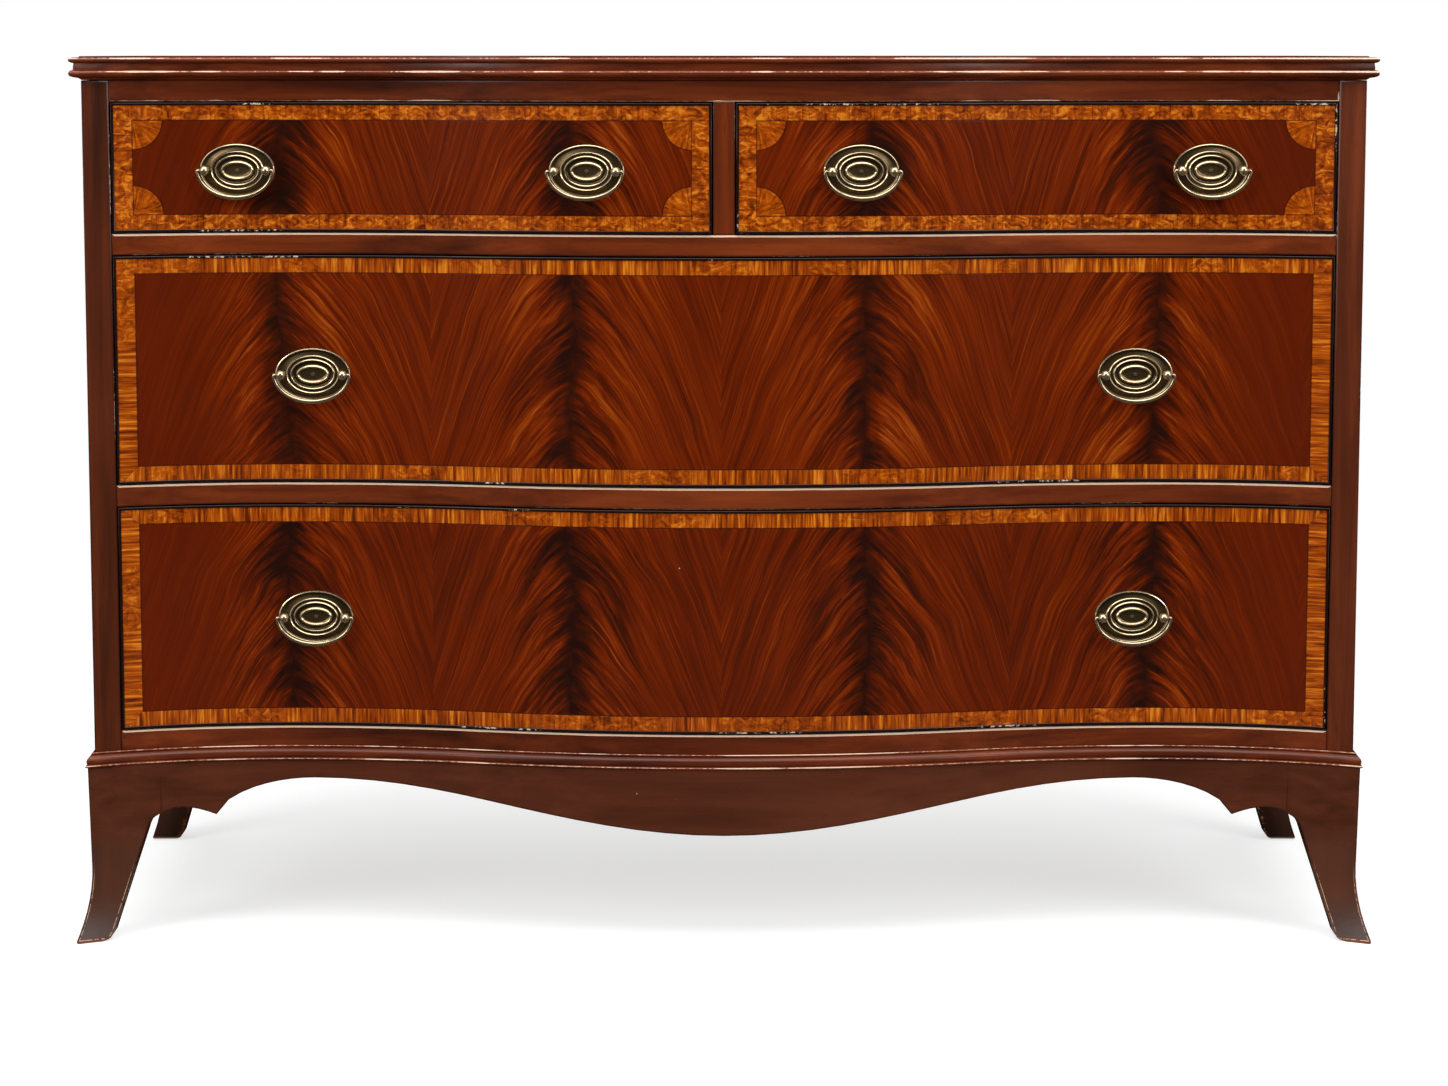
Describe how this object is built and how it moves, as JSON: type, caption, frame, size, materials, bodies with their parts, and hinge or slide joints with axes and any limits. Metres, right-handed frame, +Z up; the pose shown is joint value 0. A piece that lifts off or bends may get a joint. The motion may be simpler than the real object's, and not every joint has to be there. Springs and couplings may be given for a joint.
{
  "type": "chest of drawers",
  "caption": "Serpentine-front chest of drawers on splayed feet, small drawers over long ones, with oval plates and hinged bail pulls.",
  "frame": {"origin": "on the floor, under the middle of the chest's bounding box", "axes": "+X to the right seen from the front, +Y from the front to the back, +Z up; the drawers open towards -Y"},
  "size_m": [1.334, 0.5652, 0.907],
  "materials": {
    "case_wood": "dark red-brown mahogany, polished, worn edges",
    "drawer_fronts": "flame mahogany veneer with satinwood crossbanding, polished",
    "drawer_boxes": "plain secondary wood, unfinished",
    "inner_boards": "plain secondary wood, unfinished",
    "brass_plate": "stamped, antique patina with bright high points",
    "brass_bail": "antique patina, polished by hands"
  },
  "bodies": {
    "case": {"apron_front": "case_wood", "apron_left": "case_wood", "apron_right": "case_wood", "back_panel": "inner_boards", "base_moulding": "case_wood", "bottom_board": "inner_boards", "bottom_rail": "case_wood", "centre_muntin": "case_wood", "centre_partition": "inner_boards", "foot_front_left": "case_wood", "foot_front_right": "case_wood", "foot_rear_left": "case_wood", "foot_rear_right": "case_wood", "middle_dust_board": "inner_boards", "middle_rail": "case_wood", "side_left": "case_wood", "side_right": "case_wood", "stile_left": "case_wood", "stile_right": "case_wood", "top_board": "case_wood", "top_rail": "case_wood", "upper_dust_board": "inner_boards", "upper_rail": "case_wood"},
    "top_left_drawer": {"top_left_drawer_back": "drawer_boxes", "top_left_drawer_bottom": "drawer_boxes", "top_left_drawer_front": "drawer_fronts", "top_left_drawer_left_plate": "brass_plate", "top_left_drawer_right_plate": "brass_plate", "top_left_drawer_side_left": "drawer_boxes", "top_left_drawer_side_right": "drawer_boxes"},
    "top_right_drawer": {"top_right_drawer_back": "drawer_boxes", "top_right_drawer_bottom": "drawer_boxes", "top_right_drawer_front": "drawer_fronts", "top_right_drawer_left_plate": "brass_plate", "top_right_drawer_right_plate": "brass_plate", "top_right_drawer_side_left": "drawer_boxes", "top_right_drawer_side_right": "drawer_boxes"},
    "middle_drawer": {"middle_drawer_back": "drawer_boxes", "middle_drawer_bottom": "drawer_boxes", "middle_drawer_front": "drawer_fronts", "middle_drawer_left_plate": "brass_plate", "middle_drawer_right_plate": "brass_plate", "middle_drawer_side_left": "drawer_boxes", "middle_drawer_side_right": "drawer_boxes"},
    "lower_drawer": {"lower_drawer_back": "drawer_boxes", "lower_drawer_bottom": "drawer_boxes", "lower_drawer_front": "drawer_fronts", "lower_drawer_left_plate": "brass_plate", "lower_drawer_right_plate": "brass_plate", "lower_drawer_side_left": "drawer_boxes", "lower_drawer_side_right": "drawer_boxes"},
    "lower_drawer_left_bail": {"lower_drawer_left_bail": "brass_bail"},
    "lower_drawer_right_bail": {"lower_drawer_right_bail": "brass_bail"},
    "middle_drawer_left_bail": {"middle_drawer_left_bail": "brass_bail"},
    "middle_drawer_right_bail": {"middle_drawer_right_bail": "brass_bail"},
    "top_left_drawer_left_bail": {"top_left_drawer_left_bail": "brass_bail"},
    "top_left_drawer_right_bail": {"top_left_drawer_right_bail": "brass_bail"},
    "top_right_drawer_left_bail": {"top_right_drawer_left_bail": "brass_bail"},
    "top_right_drawer_right_bail": {"top_right_drawer_right_bail": "brass_bail"}
  },
  "joints": [
    {"name": "top_left_drawer_slide", "type": "slide", "parent": "case", "child": "top_left_drawer", "axis": [0, -1, 0], "range_m": [0, 0.38]},
    {"name": "top_right_drawer_slide", "type": "slide", "parent": "case", "child": "top_right_drawer", "axis": [0, -1, 0], "range_m": [0, 0.38]},
    {"name": "middle_drawer_slide", "type": "slide", "parent": "case", "child": "middle_drawer", "axis": [0, -1, 0], "range_m": [0, 0.38]},
    {"name": "lower_drawer_slide", "type": "slide", "parent": "case", "child": "lower_drawer", "axis": [0, -1, 0], "range_m": [0, 0.38]},
    {"name": "lower_drawer_left_bail_hinge", "type": "hinge", "parent": "lower_drawer", "child": "lower_drawer_left_bail", "pos_m": [-0.42292, -0.22653, 0.33101], "axis": [-0.9996, 0.03, 0], "range_deg": [0, 150]},
    {"name": "lower_drawer_right_bail_hinge", "type": "hinge", "parent": "lower_drawer", "child": "lower_drawer_right_bail", "pos_m": [0.42292, -0.22653, 0.33101], "axis": [-0.9996, -0.03, 0], "range_deg": [0, 150]},
    {"name": "middle_drawer_left_bail_hinge", "type": "hinge", "parent": "middle_drawer", "child": "middle_drawer_left_bail", "pos_m": [-0.42292, -0.22653, 0.5825], "axis": [-0.9996, 0.03, 0], "range_deg": [0, 150]},
    {"name": "middle_drawer_right_bail_hinge", "type": "hinge", "parent": "middle_drawer", "child": "middle_drawer_right_bail", "pos_m": [0.42292, -0.22653, 0.5825], "axis": [-0.9996, -0.03, 0], "range_deg": [0, 150]},
    {"name": "top_left_drawer_left_bail_hinge", "type": "hinge", "parent": "top_left_drawer", "child": "top_left_drawer_left_bail", "pos_m": [-0.49672, -0.23666, 0.7915], "axis": [-0.9951, 0.0989, 0], "range_deg": [0, 150]},
    {"name": "top_left_drawer_right_bail_hinge", "type": "hinge", "parent": "top_left_drawer", "child": "top_left_drawer_right_bail", "pos_m": [-0.14033, -0.2732, 0.7915], "axis": [-0.9901, 0.1405, 0], "range_deg": [0, 150]},
    {"name": "top_right_drawer_left_bail_hinge", "type": "hinge", "parent": "top_right_drawer", "child": "top_right_drawer_left_bail", "pos_m": [0.14033, -0.2732, 0.7915], "axis": [-0.9901, -0.1405, 0], "range_deg": [0, 150]},
    {"name": "top_right_drawer_right_bail_hinge", "type": "hinge", "parent": "top_right_drawer", "child": "top_right_drawer_right_bail", "pos_m": [0.49672, -0.23666, 0.7915], "axis": [-0.9951, -0.0989, 0], "range_deg": [0, 150]}
  ]
}
